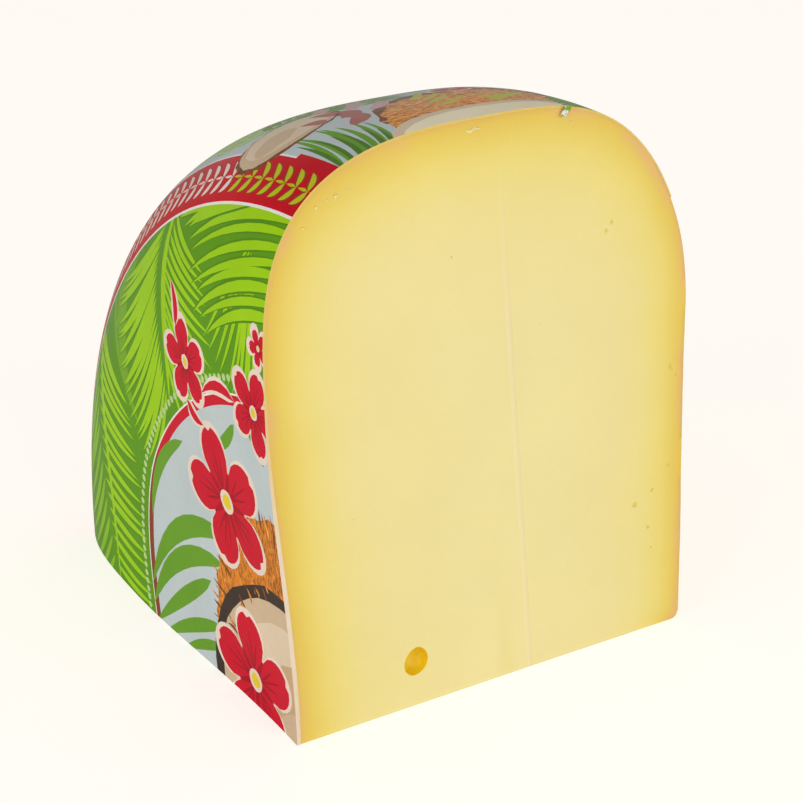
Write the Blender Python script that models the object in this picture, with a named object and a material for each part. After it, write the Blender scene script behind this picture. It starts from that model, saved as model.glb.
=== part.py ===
"""A quarter of a round, washed and coated cheese, standing on one of its two cut faces.

The whole cheese is a thick wheel whose axis lies along X. Two knife cuts through that axis,
square to each other, leave a quarter: one cut face stands upright and looks along -Y, the other
is the flat bottom at Z = 0. The -X face of the wheel and its rim carry a printed label film,
which was cut through together with the cheese. The +X face is bare rind.

The origin is at the middle of the quarter's bottom face.
"""
import math

import bmesh
import bpy
from mathutils import Matrix, Vector

# ---- The wheel the quarter was cut from, in metres -----------------------------------------
WHEEL_RADIUS = 0.1220            # axis to the crown of the rim, over the label
HALF_WIDTH = 0.0478              # middle of the wheel to each flat face, over the label
CROWN_OFFSET = -0.0005           # the rim is highest a little towards the labelled face

# ---- How the rim rolls over into each flat face: a superellipse quarter on each side --------
LABELLED_FLAT_RADIUS = 0.0723    # where the labelled face ends and its shoulder starts
LABELLED_POWERS = (2.90, 3.53)   # squareness across the wheel, squareness along the radius
LABELLED_DISH = -0.0038          # how far the middle of the labelled face lies inside its edge
BARE_FLAT_RADIUS = 0.0742
BARE_POWERS = (3.12, 1.75)
BARE_DISH = 0.0017               # the middle of the bare face bulges by this much

# ---- The printed label film ----------------------------------------------------------------
FILM_THICKNESS = 0.00035
FILM_GAP = 0.0003                # air between the film and the rind
FILM_END_RADIUS = 0.0975         # the film ends on the bare shoulder, this far from the axis
FILM_EDGE_CLEARANCE = 0.0002     # the film's cut edges stay this far inside both knife cuts

# ---- One eye (gas hole) that the knife opened ----------------------------------------------
EYE_X = -0.0166                  # from the middle of the wheel
EYE_HEIGHT = 0.0106              # above the bottom
EYE_RADII = (0.00275, 0.0030, 0.0033)
EYE_TILT = math.radians(8)

# ---- Fineness of the turned shape ----------------------------------------------------------
SHOULDER_STEPS = 18
FACE_STEPS = 8
TURN_STEPS = 24
MERGE = 0.000002

QUARTER_TURN = math.pi / 2


def clear_scene():
    for old in list(bpy.data.objects):
        bpy.data.objects.remove(old, do_unlink=True)


def make_material(name, colour, roughness, metallic=0.0):
    material = bpy.data.materials.new(name)
    material.use_nodes = True
    shader = material.node_tree.nodes["Principled BSDF"]
    shader.inputs["Base Color"].default_value = (*colour, 1.0)
    shader.inputs["Roughness"].default_value = roughness
    shader.inputs["Metallic"].default_value = metallic
    return material


def half_profile(half_width, rim_radius, flat_radius, powers, dish):
    """One side of the wheel, axis to crown, as (distance from the middle, radius) pairs."""
    across, along = powers
    points = []
    for step in range(FACE_STEPS):
        radius = flat_radius * step / FACE_STEPS
        points.append((half_width + dish * (1 - (radius / flat_radius) ** 2) ** 2, radius))
    for step in range(SHOULDER_STEPS + 1):
        angle = QUARTER_TURN * step / SHOULDER_STEPS
        width = half_width * max(math.cos(angle), 0.0) ** (2 / across)
        radius = flat_radius + (rim_radius - flat_radius) * math.sin(angle) ** (2 / along)
        points.append((width, radius))
    return points


def rind_profile():
    """The outline of the bare cheese, from the labelled face's middle over the rim to the bare one's."""
    skin = FILM_GAP + FILM_THICKNESS
    rim_radius = WHEEL_RADIUS - skin
    labelled = half_profile(HALF_WIDTH + CROWN_OFFSET - skin, rim_radius,
                            LABELLED_FLAT_RADIUS, LABELLED_POWERS, LABELLED_DISH)
    bare = half_profile(HALF_WIDTH - CROWN_OFFSET, rim_radius,
                        BARE_FLAT_RADIUS, BARE_POWERS, BARE_DISH)
    left = [Vector((CROWN_OFFSET - width, 0.0, radius)) for width, radius in labelled]
    right = [Vector((CROWN_OFFSET + width, 0.0, radius)) for width, radius in bare]
    return left + right[-2::-1]


def outward(profile, index):
    """The outward direction of the profile at one of its points; straight out at the axis."""
    if index == 0:
        return Vector((-1.0, 0.0, 0.0))
    along = profile[min(index + 1, len(profile) - 1)] - profile[index - 1]
    return Vector((-along.z, 0.0, along.x)).normalized()


def film_profile():
    """The film's own outline: out over its printed side, round its free end, back along its underside."""
    rind = rind_profile()
    crown = max(range(len(rind)), key=lambda index: rind[index].z)
    covered = [i for i, point in enumerate(rind) if i <= crown or point.z >= FILM_END_RADIUS]
    inner = [rind[i] + outward(rind, i) * FILM_GAP for i in covered]
    outer = [rind[i] + outward(rind, i) * (FILM_GAP + FILM_THICKNESS) for i in covered]
    return outer + inner[::-1]


def turned_quarter(name, profile, material):
    """Turn an outline, which starts and ends on the axis, through a quarter and close both cuts."""
    mesh = bpy.data.meshes.new(name)
    bm = bmesh.new()
    verts = [bm.verts.new(point) for point in profile]
    edges = [bm.edges.new(pair) for pair in zip(verts, verts[1:])]
    bmesh.ops.spin(bm, geom=verts + edges, cent=(0, 0, 0), axis=(1, 0, 0),
                   angle=-QUARTER_TURN, steps=TURN_STEPS, use_merge=False)
    bmesh.ops.remove_doubles(bm, verts=bm.verts[:], dist=MERGE)
    bmesh.ops.dissolve_degenerate(bm, edges=bm.edges[:], dist=MERGE)

    on_axis = sorted((v for v in bm.verts if v.co.yz.length < MERGE), key=lambda v: v.co.x)
    axis_edge = bm.edges.new((on_axis[0], on_axis[-1]))
    open_edges = [e for e in bm.edges if e.is_boundary]
    upright = [e for e in open_edges if all(abs(v.co.y) < MERGE for v in e.verts)]
    lying = [e for e in open_edges if all(abs(v.co.z) < MERGE for v in e.verts)]
    bmesh.ops.contextual_create(bm, geom=upright + [axis_edge])
    bmesh.ops.contextual_create(bm, geom=lying + [axis_edge])
    bmesh.ops.recalc_face_normals(bm, faces=bm.faces[:])
    bm.to_mesh(mesh)
    bm.free()
    mesh.materials.append(material)
    mesh.shade_smooth()
    mesh.set_sharp_from_angle(angle=math.radians(35))
    made = bpy.data.objects.new(name, mesh)
    bpy.context.scene.collection.objects.link(made)
    return made


def eye_cutter():
    """An egg-shaped tool that opens the eye in the upright cut face."""
    mesh = bpy.data.meshes.new("eye_cutter")
    bm = bmesh.new()
    egg = Matrix.Rotation(EYE_TILT, 4, "Y") @ Matrix.Diagonal((*EYE_RADII, 1.0))
    bmesh.ops.create_uvsphere(bm, u_segments=20, v_segments=12, radius=1.0, matrix=egg)
    bm.to_mesh(mesh)
    bm.free()
    cutter = bpy.data.objects.new("eye_cutter", mesh)
    bpy.context.scene.collection.objects.link(cutter)
    cutter.hide_render = True
    cutter.display_type = "WIRE"
    return cutter


def place(made, position):
    """Move an object from the wheel's own coordinates to ones counted from the bottom's middle."""
    bottom_middle = Vector((BARE_DISH / 2, WHEEL_RADIUS / 2, 0.0))
    made.location = Vector(position) - bottom_middle


def main():
    clear_scene()
    paste = make_material("cheese_paste", (0.82, 0.66, 0.26), 0.45)
    print_film = make_material("label_film", (0.22, 0.45, 0.06), 0.25)

    cheese = turned_quarter("cheese_quarter", rind_profile(), paste)
    place(cheese, (0, 0, 0))

    cutter = eye_cutter()
    place(cutter, (EYE_X, 0, EYE_HEIGHT))
    opened = cheese.modifiers.new("eye", "BOOLEAN")
    opened.operation = "DIFFERENCE"
    opened.object = cutter
    opened.solver = "EXACT"

    film = turned_quarter("label_film", film_profile(), print_film)
    place(film, (0, FILM_EDGE_CLEARANCE, FILM_EDGE_CLEARANCE))


main()
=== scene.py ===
# %% [markdown]
# # A quarter of a labelled cheese
# The object is a quarter of a thick round cheese. It stands on one knife cut, the other cut looks
# at us, and a printed film covers one flat face and wraps over the rim.
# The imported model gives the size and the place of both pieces. This lesson rebuilds how they look:
# first the camera, then the shape of the wheel as a formula, then the cheese, then the print.

# %% Load the frame and read its boxes
import math
import random

import bmesh
import bpy
import numpy as np
from mathutils import Matrix, Vector, geometry, noise


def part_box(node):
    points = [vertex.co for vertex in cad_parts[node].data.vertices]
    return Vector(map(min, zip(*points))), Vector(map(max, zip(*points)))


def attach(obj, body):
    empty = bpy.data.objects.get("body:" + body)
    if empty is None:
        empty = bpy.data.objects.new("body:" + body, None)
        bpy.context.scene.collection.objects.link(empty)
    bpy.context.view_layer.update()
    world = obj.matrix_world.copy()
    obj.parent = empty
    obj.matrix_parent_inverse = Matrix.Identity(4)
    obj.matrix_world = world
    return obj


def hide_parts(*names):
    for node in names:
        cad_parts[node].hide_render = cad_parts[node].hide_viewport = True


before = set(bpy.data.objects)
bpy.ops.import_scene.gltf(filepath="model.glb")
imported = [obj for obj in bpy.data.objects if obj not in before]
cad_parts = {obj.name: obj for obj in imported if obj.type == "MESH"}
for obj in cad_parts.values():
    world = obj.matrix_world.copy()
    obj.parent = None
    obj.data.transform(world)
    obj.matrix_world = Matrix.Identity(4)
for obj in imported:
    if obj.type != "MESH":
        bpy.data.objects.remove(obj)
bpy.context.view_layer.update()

MM = 0.001

cheese_low, cheese_high = (Vector(corner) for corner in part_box("cheese_quarter"))
film_low, film_high = (Vector(corner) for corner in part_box("label_film"))

BARE_DISH = 1.7 * MM                     # the bare face bulges this much at its middle
RADIUS = film_high.z - film_low.z        # wheel axis to the crown of the rim
HALF_WIDTH = (cheese_high.x - film_low.x - BARE_DISH) / 2
MIDDLE_X = film_low.x + HALF_WIDTH       # the wheel's middle plane
FRONT_Y = cheese_low.y                   # the upright cut


def new_object(name, data):
    """An object in the scene that shows the given mesh, camera or light."""
    made = bpy.data.objects.new(name, data)
    bpy.context.scene.collection.objects.link(made)
    return made


print(f"wheel radius {RADIUS / MM:.1f} mm, half width {HALF_WIDTH / MM:.1f} mm")

# %% [markdown]
# ## The camera
# A packshot of food is taken from a little above with a long lens, so that upright edges stay
# nearly parallel. The lens is given by its angle, and the camera is placed by how far it has
# walked round the cheese, how high it looks from and how far away it stands, in wheel radii.
# A hair of roll is added because the real camera wasn't quite level.

# %% Place the camera
AZIMUTH = math.radians(-29.8)
ELEVATION = math.radians(25.3)
ROLL = math.radians(-0.86)
DISTANCE = 3.118 * RADIUS
LENS_MM = 90.5


def add_camera():
    target = Vector((MIDDLE_X - 0.157 * RADIUS, FRONT_Y, 0.567 * RADIUS))
    back = Vector((math.sin(AZIMUTH) * math.cos(ELEVATION),
                   -math.cos(AZIMUTH) * math.cos(ELEVATION),
                   math.sin(ELEVATION)))
    data = bpy.data.cameras.new("camera")
    data.lens = LENS_MM
    data.sensor_width = 36.0
    data.clip_start = 0.01
    made = new_object("camera", data)
    turn = back.to_track_quat("Z", "Y").to_matrix() @ Matrix.Rotation(ROLL, 3, "Z")
    made.matrix_world = Matrix.Translation(target + back * DISTANCE) @ turn.to_4x4()
    bpy.context.scene.camera = made
    return made


camera = add_camera()
print("camera at", [round(value, 3) for value in camera.matrix_world.translation])

# %% [markdown]
# ## The shape of the wheel
# A pressed cheese is a disc with soft shoulders. Its outline from the middle of one flat face,
# over the rim, to the middle of the other is nearly flat, then a squarish curve, then nearly
# flat again. A superellipse quarter on each side gives that curve with two numbers, so the
# labelled shoulder and the fuller bare shoulder can differ as they do on a real wheel.
# Everything that follows, cheese and film alike, asks this one outline for its places.

# %% The outline as a function of the distance along it
LABELLED_SIDE = {"flat": 0.593, "powers": (2.90, 3.53), "dish": -3.8 * MM}
BARE_SIDE = {"flat": 0.608, "powers": (3.12, 1.75), "dish": BARE_DISH}
CROWN_OFFSET = -0.5 * MM
CORNER_ROUND = 2.2 * MM                  # the cut corner at the bare face's middle is rubbed round
FACE_SAMPLES = 300                       # points of the outline over each flat face
SHOULDER_SAMPLES = 900                   # and over each shoulder


def side_curve(half_width, flat, powers, dish):
    """Width from the wheel's middle and radius from its axis, from the face's middle to the crown."""
    across, along = powers
    flat_radius = flat * RADIUS
    share = np.linspace(0, 1, FACE_SAMPLES, endpoint=False)
    ease = np.linspace(0, 1, SHOULDER_SAMPLES)
    turn = math.pi / 2 * (3 - 2 * ease) * ease**2
    width = [half_width + dish * (1 - share**2) ** 2, half_width * np.cos(turn).clip(0) ** (2 / across)]
    radius = [flat_radius * share, flat_radius + (RADIUS - flat_radius) * np.sin(turn) ** (2 / along)]
    return np.concatenate(width), np.concatenate(radius)


def outline_table():
    left_w, left_r = side_curve(HALF_WIDTH + CROWN_OFFSET, **LABELLED_SIDE)
    right_w, right_r = side_curve(HALF_WIDTH - CROWN_OFFSET, **BARE_SIDE)
    near = np.clip(1 - right_r / CORNER_ROUND, 0, 1)
    right_w = right_w - 0.8 * CORNER_ROUND * (1 - np.sqrt(1 - near**2))
    x = np.concatenate([CROWN_OFFSET - left_w, (CROWN_OFFSET + right_w)[-2::-1]])
    r = np.concatenate([left_r, right_r[-2::-1]])
    s = np.concatenate([[0], np.cumsum(np.hypot(np.diff(x), np.diff(r)))])
    return x, r, s


OUTLINE_X, OUTLINE_R, OUTLINE_S = outline_table()
S_CROWN = OUTLINE_S[np.argmax(OUTLINE_R)]
S_TOTAL = OUTLINE_S[-1]
bare_shoulder = np.flatnonzero(OUTLINE_X > 0)[:-FACE_SAMPLES]
S_FILM_END = float(np.interp(film_high.x - MIDDLE_X, OUTLINE_X[bare_shoulder], OUTLINE_S[bare_shoulder]))


def outline(s):
    """Place and outward direction on the outline, as arrays: x, radius, direction x, direction radius."""
    s = np.asarray(s, float)
    step = 0.3 * MM
    x, r = np.interp(s, OUTLINE_S, OUTLINE_X), np.interp(s, OUTLINE_S, OUTLINE_R)
    dx = np.interp(s + step, OUTLINE_S, OUTLINE_X) - np.interp(s - step, OUTLINE_S, OUTLINE_X)
    dr = np.interp(s + step, OUTLINE_S, OUTLINE_R) - np.interp(s - step, OUTLINE_S, OUTLINE_R)
    length = np.hypot(dx, dr)
    return x, r, -dr / length, dx / length


def turned(x, r, angle):
    """Points of the quarter in the frame's own coordinates; angle 0 is the upright cut."""
    return np.stack([MIDDLE_X + x, FRONT_Y + r * np.sin(angle), r * np.cos(angle)], -1)


print(f"outline {S_TOTAL / MM:.0f} mm long, crown at {S_CROWN / MM:.0f}, film ends at {S_FILM_END / MM:.0f}")

# %% [markdown]
# ## Smooth random fields
# A real cheese and a real film are never exactly the shape of their formula. Slow, seeded noise
# gives the gentle unevenness. One helper serves the knife cut, the rind and the film.

# %% Slow unevenness for arrays of points


def slow_noise(points, size, seed):
    """One value from about -1 to 1 for each point, changing over the given size in metres."""
    shift = Vector((seed * 7.1, seed * 3.3, seed * 5.7))
    return np.array([noise.noise(Vector(point) / size + shift) for point in points])


def eased(value, start, end):
    """0 before start, 1 after end, and a smooth step between them."""
    t = np.clip((np.asarray(value, float) - start) / (end - start), 0, 1)
    return t * t * (3 - 2 * t)


def film_skin(s):
    """How far the cheese lies under the outline: the film's thickness, and nothing past the film."""
    over_face = 0.65 * MM - 0.43 * MM * eased(s, 20 * MM, 0.8 * S_CROWN)
    towards_end = 0.08 * MM * eased(s, S_CROWN, S_FILM_END)
    return (over_face - towards_end) * (1 - eased(s, S_FILM_END + 1 * MM, S_FILM_END + 10 * MM))


print(f"at the axis the cheese lies {film_skin(0) / MM:.2f} mm under the outline")

# %% [markdown]
# ## The cheese as a mesh
# The quarter has two flat cuts and one turned surface. Each cut is a patch of nearly square
# quads, stretched between the straight axis edge and the outline (a Coons patch). The turned
# surface carries the same outline points round by steps. All three share their border points,
# so the body is closed without any stitching. The rows next to each knife edge are close to
# it, and the edge itself is pulled in by a tenth of a millimetre, as a soft edge is.

# %% Rows and columns of the mesh
ROWS_UP = 104
COLUMNS_ACROSS = 84
TURN_STEPS = 116
EDGE_STEP = 0.45 * MM                    # the rows beside a knife edge
EDGE_SOFTENING = 0.13 * MM
CUT_INSET = 0.10 * MM                    # the upright cut is set back to leave room for its waves


def edge_weighted(count, length, both_ends):
    """Even steps from 0 to 1, with an extra short step at the start, and at the end if asked."""
    short = EDGE_STEP / length
    inner = np.linspace(short, 1 - short if both_ends else 1, count - 1 if both_ends else count)
    return np.concatenate([[0], inner, [1] if both_ends else []])


def shoulder_corner(side):
    """Distance along the outline at which it leans over by 45 degrees, on one side of the crown."""
    low, high = (0.5, 1.0) if side < 0 else (1.0, 1.5)
    s = np.linspace(low * S_CROWN, high * S_CROWN, 400)
    _, _, out_x, out_r = outline(s)
    return s[np.argmin(np.abs(np.abs(out_x) - out_r))]


S_LEFT, S_RIGHT = shoulder_corner(-1), shoulder_corner(1)


def rind_point(s):
    x, r, out_x, out_r = outline(s)
    skin = film_skin(s)
    return np.stack([x - out_x * skin, np.maximum(r - out_r * skin, 0)], -1)


def cut_patch():
    """(x, radius) of the cut face's grid: rows from the axis up, columns from the label across."""
    up = edge_weighted(ROWS_UP, S_LEFT, False)
    up = up * (1 - EDGE_STEP / S_LEFT)
    up = np.concatenate([up, [1]])
    across = edge_weighted(COLUMNS_ACROSS, 2 * HALF_WIDTH, True)
    left = rind_point(up * S_LEFT)
    right = rind_point(S_TOTAL - up * (S_TOTAL - S_RIGHT))
    top = rind_point(S_LEFT + across * (S_RIGHT - S_LEFT))
    bottom = left[0] + across[:, None] * (right[0] - left[0])
    u, v = across[None, :, None], up[:, None, None]
    blend = (1 - v) * bottom[None] + v * top[None] + (1 - u) * left[:, None] + u * right[:, None]
    corners = ((1 - u) * (1 - v) * left[0] + u * (1 - v) * right[0]
               + (1 - u) * v * left[-1] + u * v * right[-1])
    return blend - corners


patch = cut_patch()
print("cut face grid", patch.shape[:2])

# %% [markdown]
# The body is put together from these grids. The upright cut's border is also the first row of the
# turned surface, and the bottom cut's border is the last, so no point is made twice. The knife
# or wire leaves the cut very slightly wavy, which is a small move of its inner points.

# %% Join the cuts and the turned surface


def knife_waves(points):
    """How far a cut face stands proud at each point: slow waves and a faint drag ripple."""
    drag = slow_noise(points * np.array([1, 1, 0.15]), 5 * MM, 3)
    return 0.16 * MM * slow_noise(points, 32 * MM, 1) + 0.025 * MM * drag


def ring_of(grid):
    """The grid's border without the axis edge: up the left, across the top, down the right."""
    return list(grid[:, 0]) + list(grid[-1, 1:]) + list(grid[-2::-1, -1])


def cheese_mesh():
    """The body, with the points on the border of its upright cut and of its bottom cut."""
    rows, columns = patch.shape[:2]
    ids = np.arange(rows * columns).reshape(rows, columns)
    flat = patch.reshape(-1, 2)
    front = turned(flat[:, 0], flat[:, 1], 0.0)
    lying = turned(flat[columns:, 0], flat[columns:, 1], math.pi / 2)
    inside = np.minimum(1, np.array([min(i, columns - 1 - i, j, rows - 1 - j) for j in range(rows)
                                     for i in range(columns)]) / 3)
    front[:, 1] += (knife_waves(front) + CUT_INSET) * inside
    front[ids[0], 1:] += EDGE_SOFTENING
    floor_ids = np.vstack([ids[0], np.arange(len(lying)).reshape(rows - 1, columns) + len(front)])

    ring_xr = np.array([patch[tuple(np.argwhere(ids == i)[0])] for i in ring_of(ids)])
    ring_front, ring_floor = ring_of(ids), ring_of(floor_ids)
    first = EDGE_STEP / RADIUS
    angles = np.concatenate([[0], np.linspace(first, math.pi / 2 - first, TURN_STEPS), [math.pi / 2]])
    places, turn_rows = [front, lying], [ring_front]
    at = len(front) + len(lying)
    for angle in angles[1:-1]:
        row = turned(ring_xr[1:-1, 0], ring_xr[1:-1, 1], angle)
        places.append(row)
        turn_rows.append([ring_front[0], *range(at, at + len(row)), ring_front[-1]])
        at += len(row)
    turn_rows.append(ring_floor)

    quads, slots = [], []
    for grid, flip in ((ids, False), (floor_ids, True)):
        for j in range(rows - 1):
            for i in range(columns - 1):
                face = [grid[j, i], grid[j, i + 1], grid[j + 1, i + 1], grid[j + 1, i]]
                quads.append(face[::-1] if flip else face)
                slots.append(0)
    for row, following in zip(turn_rows, turn_rows[1:]):
        for m in range(len(row) - 1):
            face = [row[m], row[m + 1], following[m + 1], following[m]]
            quads.append(list(dict.fromkeys(face)))
            slots.append(1)

    points = np.vstack(places)
    mesh = bpy.data.meshes.new("cheese")
    mesh.from_pydata(points.tolist(), [], [[int(i) for i in face] for face in quads])
    mesh.polygons.foreach_set("material_index", slots)
    return mesh, set(ring_front[1:-1]), set(ring_floor[1:-1])


body_mesh, front_ring, floor_ring = cheese_mesh()
print("cheese body faces", len(body_mesh.polygons))

# %% [markdown]
# The bare rind is a little lumpy from the mould and the shelf, so its points move by two sizes of
# noise. A knife edge in soft paste is never razor sharp. Pulling the border points in a little
# rounds it, and the close rows beside the edge keep that rounding narrow.

# %% Settle the rind and soften the knife edges


def settle_surface(mesh, front_ring, floor_ring):
    """Make the rind uneven past the film, and pull the knife edges in."""
    points = np.array([v.co for v in mesh.vertices])
    radius = np.hypot(points[:, 1] - FRONT_Y, points[:, 2])
    normals = np.array([v.normal for v in mesh.vertices])
    film_end_x = film_high.x - MIDDLE_X
    bare = eased(points[:, 0] - MIDDLE_X, film_end_x + 1 * MM, film_end_x + 5 * MM)
    lumps = 0.35 * MM * slow_noise(points, 26 * MM, 5) + 0.10 * MM * slow_noise(points, 6 * MM, 8)
    facing_x = np.clip(normals[:, 0], 0, 1) * eased(radius, 2 * MM, 12 * MM)
    points[:, 0] += bare * facing_x * (lumps - 0.25 * MM)
    for i in front_ring:
        points[i] += EDGE_SOFTENING * (np.array([0, 1, 0]) - normals[i] * np.array([1, 0, 1]))
    for i in floor_ring:
        points[i] += EDGE_SOFTENING * (np.array([0, 0, 1]) - normals[i] * np.array([1, 1, 0]))
    points[:, 2] = np.maximum(points[:, 2], 0)
    mesh.vertices.foreach_set("co", points.ravel())


settle_surface(body_mesh, front_ring, floor_ring)
cheese = new_object("cheese", body_mesh)
print("softened", len(front_ring) + len(floor_ring), "points along the knife edges")

# %% [markdown]
# ## Eyes and pinholes
# Gas bubbles leave round eyes in the paste, and small ones leave pinholes. The knife opens
# those that it meets, with a crisp rim. Egg-shaped tools cut them out with an exact Boolean, and
# the tools' own material slot lines the holes.

# %% Cut the eye and the pinholes
# Places and sizes are in millimetres: x from the wheel's middle, z from the floor, then the radius.
EYE = {"x": -16.6, "z": 10.6, "radii": (2.75, 3.0, 3.3), "tilt": 8}
PINHOLES = [(27.2, 94.2, 0.55), (28.4, 95.8, 0.50), (44.5, 61.4, 0.85), (46.0, 59.3, 0.40),
            (44.9, 38.6, 0.50), (41.0, 33.8, 0.45), (36.7, 31.4, 0.70), (40.3, 25.1, 0.50),
            (41.3, 20.0, 0.35), (-30.0, 47.0, 0.25), (12.0, 78.0, 0.25), (-8.0, 96.0, 0.25)]


def egg(bm, x, z, radii, tilt, segments, sunk):
    """An egg-shaped tool at a place on the cut, sunk into it by a share of its depth."""
    turn = Matrix.Rotation(math.radians(tilt), 4, "Y")
    place = Matrix.Translation((MIDDLE_X + x * MM, FRONT_Y + sunk * radii[1] * MM, z * MM))
    shape = place @ turn @ Matrix.Diagonal((*(value * MM for value in radii), 1))
    found = bmesh.ops.create_uvsphere(bm, u_segments=segments, v_segments=segments // 2, radius=1.0,
                                      matrix=shape)
    return {face for vert in found["verts"] for face in vert.link_faces}


def hole_cutter():
    wobble = random.Random(11)
    bm = bmesh.new()
    for face in egg(bm, EYE["x"], EYE["z"], EYE["radii"], EYE["tilt"], 48, 0.15):
        face.material_index = 2
    eye_middle = Vector((MIDDLE_X + EYE["x"] * MM, FRONT_Y, EYE["z"] * MM))
    for vert in bm.verts:
        vert.co += (vert.co - eye_middle) * 0.06 * noise.noise(vert.co / (2.6 * MM))
    for x, z, size in PINHOLES:
        radii = (size * wobble.uniform(0.8, 1.15), size * 0.9, size * wobble.uniform(0.8, 1.15))
        for face in egg(bm, x, z, radii, wobble.uniform(-40, 40), 14, -0.35):
            face.material_index = 3
    mesh = bpy.data.meshes.new("hole_cutter")
    bm.to_mesh(mesh)
    bm.free()
    return new_object("hole_cutter", mesh)


MATERIAL_NAMES = ("paste", "rind", "eye_lining", "pinhole_lining")
paste, rind, eye_lining, pinhole_lining = (bpy.data.materials.new(name) for name in MATERIAL_NAMES)
cutter = hole_cutter()
for material in (paste, rind, eye_lining, pinhole_lining):
    cheese.data.materials.append(material)
    cutter.data.materials.append(material)


def cut_holes():
    """Apply the Boolean once, keep its result as the cheese's own mesh and drop the tools."""
    opened = cheese.modifiers.new("eyes", "BOOLEAN")
    opened.operation = "DIFFERENCE"
    opened.solver = "EXACT"
    opened.object = cutter
    seen = cheese.evaluated_get(bpy.context.evaluated_depsgraph_get())
    mesh = bpy.data.meshes.new_from_object(seen)
    cheese.modifiers.remove(opened)
    cheese.data = mesh
    bpy.data.objects.remove(cutter)
    mesh.shade_smooth()
    mesh.set_sharp_from_angle(angle=math.radians(62))


cut_holes()
print("cheese faces after cutting", len(cheese.data.polygons))

# %% [markdown]
# ## How deep under the rind each point lies
# The paste dries and darkens from the rind inwards. Colour therefore depends on one thing, the
# distance to the nearest rind. It is measured once for each vertex and stored as an attribute,
# in millimetres, so the shader can shade from orange through gold to pale yellow.

# %% Store the depth under the rind
BARE_SIDE_HASTE = 0.45                   # under the bare face the colour turns pale this much sooner
LABEL_SIDE_HASTE = 0.25                  # and under the labelled face by this much


def store_depth(mesh):
    """Measure each point's distance to the nearest rind and store it in millimetres."""
    points = np.array([v.co for v in mesh.vertices])
    at = np.stack([points[:, 0] - MIDDLE_X, np.hypot(points[:, 1] - FRONT_Y, points[:, 2])], -1)
    along = np.linspace(0, S_TOTAL, 700)
    line = rind_point(along)
    squares = [((part[:, None] - line[None]) ** 2).sum(-1) for part in np.array_split(at, 40)]
    depth = np.sqrt(np.concatenate([part.min(1) for part in squares]))
    nearest = along[np.concatenate([part.argmin(1) for part in squares])]
    depth *= (1 + BARE_SIDE_HASTE * eased(nearest, 1.15 * S_CROWN, 1.45 * S_CROWN)
              + LABEL_SIDE_HASTE * (1 - eased(nearest, 0.5 * S_CROWN, 0.8 * S_CROWN)))
    layer = mesh.attributes.new("rind_depth", "FLOAT", "POINT")
    layer.data.foreach_set("value", (depth / MM).astype(np.float32))
    return depth


depth = store_depth(cheese.data)
print(f"deepest point {depth.max() / MM:.0f} mm under the rind")

# %% [markdown]
# ## Helpers for materials
# A material in Blender is a tree of nodes, and a tree written node by node is long to read. A few
# helpers add a node, set its values and link it in one line, so that each finish below reads like
# a recipe. `own_place` and `stored` read what the mesh knows. `faded` makes the masks: it turns any
# value into a soft step between two limits.

# %% Node helpers


def new_group(name, numbers, colours, output):
    """An empty node group with its named inputs and one output."""
    group = bpy.data.node_groups.new(name, "ShaderNodeTree")
    for label, value in colours.items():
        socket = group.interface.new_socket(label, in_out="INPUT", socket_type="NodeSocketColor")
        socket.default_value = value
    for label, value in numbers.items():
        socket = group.interface.new_socket(label, in_out="INPUT", socket_type="NodeSocketFloat")
        socket.default_value = value
    kind = "NodeSocketColor" if output == "Color" else "NodeSocketFloat"
    group.interface.new_socket(output, in_out="OUTPUT", socket_type=kind)
    return group, group.nodes.new("NodeGroupInput"), group.nodes.new("NodeGroupOutput")


def add_node(tree, kind, settings=None, **inputs):
    """A node with its settings, and its inputs given as values or as sockets to link from."""
    node = tree.nodes.new(kind)
    for name, value in (settings or {}).items():
        setattr(node, name, value)
    for name, value in inputs.items():
        socket = node.inputs[int(name[1:])] if name[0] == "i" and name[1:].isdigit() else node.inputs[name]
        if isinstance(value, bpy.types.NodeSocket):
            tree.links.new(value, socket)
        else:
            socket.default_value = value
    return node


def own_place(tree):
    """The place of the shaded point, in the object's own metres."""
    return tree.nodes.new("ShaderNodeTexCoord").outputs["Object"]


def stored(tree, name, output="Fac"):
    """A value or colour that was stored on the mesh."""
    return add_node(tree, "ShaderNodeAttribute", {"attribute_name": name}).outputs[output]


def grain(tree, where, per_metre, detail=2.0, roughness=0.5):
    return add_node(tree, "ShaderNodeTexNoise", Vector=where, Scale=per_metre, Detail=detail,
                    Roughness=roughness).outputs["Fac"]


def math_node(tree, operation, first, second, clamp=False):
    settings = {"operation": operation, "use_clamp": clamp}
    return add_node(tree, "ShaderNodeMath", settings, i0=first, i1=second).outputs[0]


def faded(tree, value, start, end, smooth=True):
    """A mask: 0 where the value is at start, 1 where it is at end, and a step between them."""
    kind = {"interpolation_type": "SMOOTHSTEP" if smooth else "LINEAR"}
    node = add_node(tree, "ShaderNodeMapRange", kind, Value=value)
    node.inputs["From Min"].default_value = start
    node.inputs["From Max"].default_value = end
    return node.outputs[0]


print("helpers: new_group, add_node, own_place, stored, grain, math_node, faded")

# %% [markdown]
# ## Effects that several materials share
# Three small node groups hold them. `cloudy` lets a colour drift lighter and darker over a given
# size. `relief` mixes a coarse and a fine grain into one height for a bump. `handling` is a
# mask of faint smears, which change how shiny a surface is. Each is built once here and placed in
# the materials with its own values.

# %% Build the shared groups


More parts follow.
